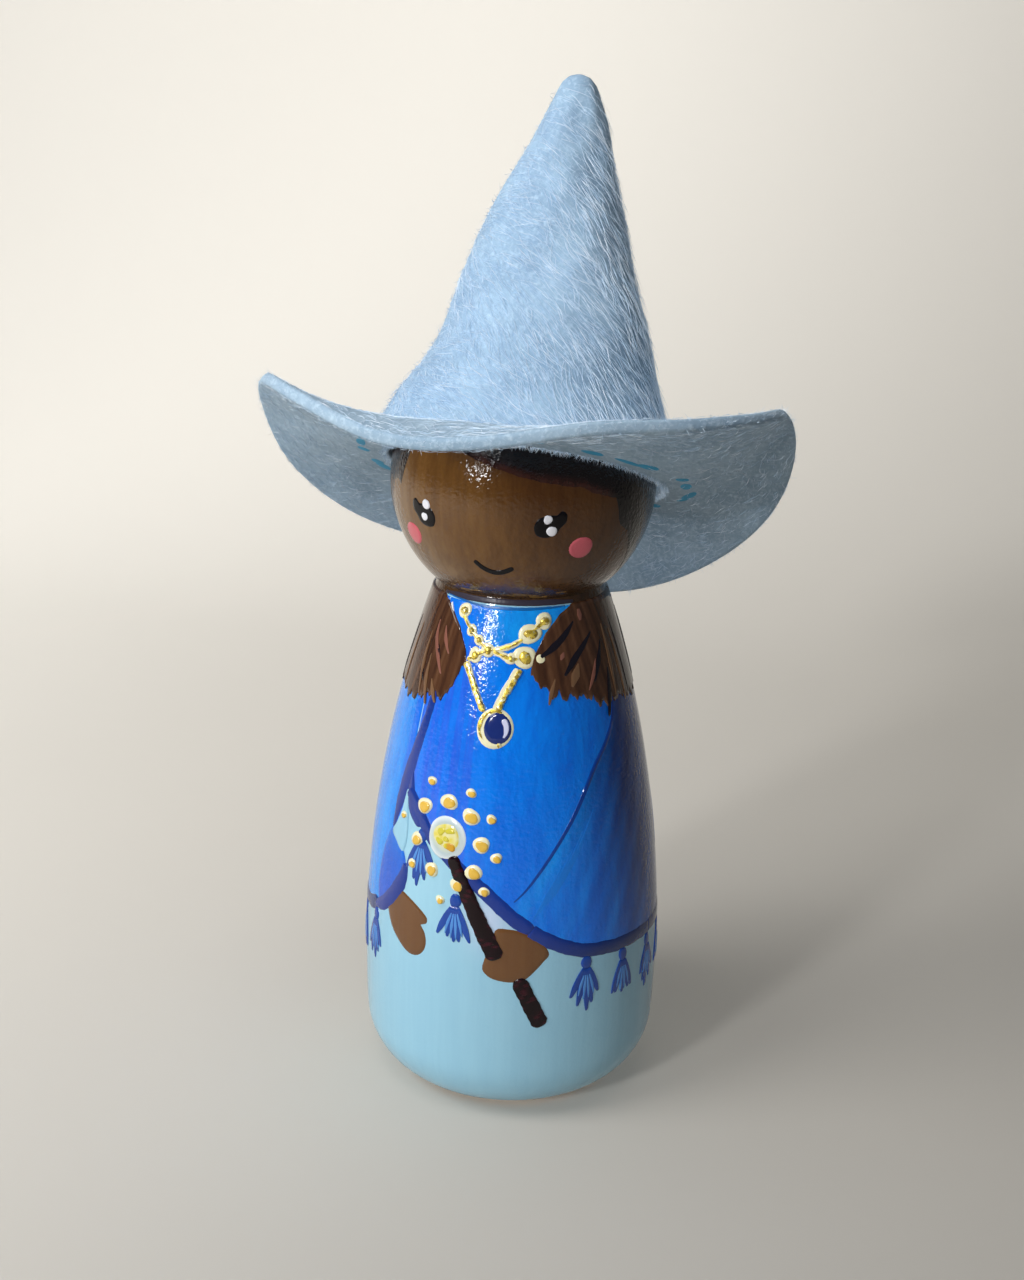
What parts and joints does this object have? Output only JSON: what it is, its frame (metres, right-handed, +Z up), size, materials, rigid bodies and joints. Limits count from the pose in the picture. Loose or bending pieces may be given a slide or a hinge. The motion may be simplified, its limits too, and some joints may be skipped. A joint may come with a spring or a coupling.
{
  "type": "peg doll",
  "caption": "Painted turned-wood peg doll with a round head and bell-shaped body, wearing a lift-off pointed felt hat with a wavy brim.",
  "frame": {"origin": "middle of the flat base the doll stands on", "axes": "+Z up along the peg, the face looks along -Y, +X to the right of someone facing the doll"},
  "size_m": [0.0512, 0.0451, 0.0979],
  "materials": {
    "wood": "turned and sanded",
    "dress_paint": "varnished paint",
    "skin_paint": "varnished paint",
    "hair_paint": "varnished paint",
    "strand_paint": "varnished paint",
    "shawl_paint": "varnished paint",
    "border_paint": "varnished paint",
    "collar_paint": "varnished paint",
    "tassel_paint": "varnished paint",
    "wand_paint": "varnished paint",
    "glow_paint": "varnished paint",
    "glow_core_paint": "varnished paint",
    "cream_paint": "varnished paint",
    "gold_paint": "metallic varnished paint",
    "stone_paint": "varnished paint",
    "white_paint": "varnished paint",
    "black_paint": "varnished paint",
    "cheek_paint": "varnished paint",
    "felt": "fuzzy pressed felt",
    "glue": "dried craft glue"
  },
  "bodies": {
    "doll": {"peg": "wood", "dress_coat": "dress_paint", "skin_coat": "skin_paint", "hair_cap": "hair_paint", "hair_left": "hair_paint", "hair_right": "hair_paint", "hair_back": "hair_paint", "hair_strands": "strand_paint", "shawl": "shawl_paint", "shawl_border": "border_paint", "shawl_folds": "border_paint", "collar_edge": "collar_paint", "tassels": "tassel_paint", "hand_left": "skin_paint", "hand_right": "skin_paint", "wand": "wand_paint", "wand_glow": "glow_paint", "glow_core": "glow_core_paint", "spark_rims": "cream_paint", "sparks": "gold_paint", "necklace_rim": "cream_paint", "necklace_beads": "gold_paint", "pendant_setting": "gold_paint", "pendant_stone": "stone_paint", "pendant_glint": "white_paint", "eyes": "black_paint", "eye_glints": "white_paint", "cheeks": "cheek_paint", "smile": "black_paint"},
    "hat": {"hat_cone": "felt", "hat_glue": "glue", "hat_brim": "felt"}
  },
  "joints": [
    {"name": "hat_lift", "type": "slide", "parent": "doll", "child": "hat", "axis": [0.0175, 0.3745, 0.927], "range_m": [0, 0.04]}
  ]
}
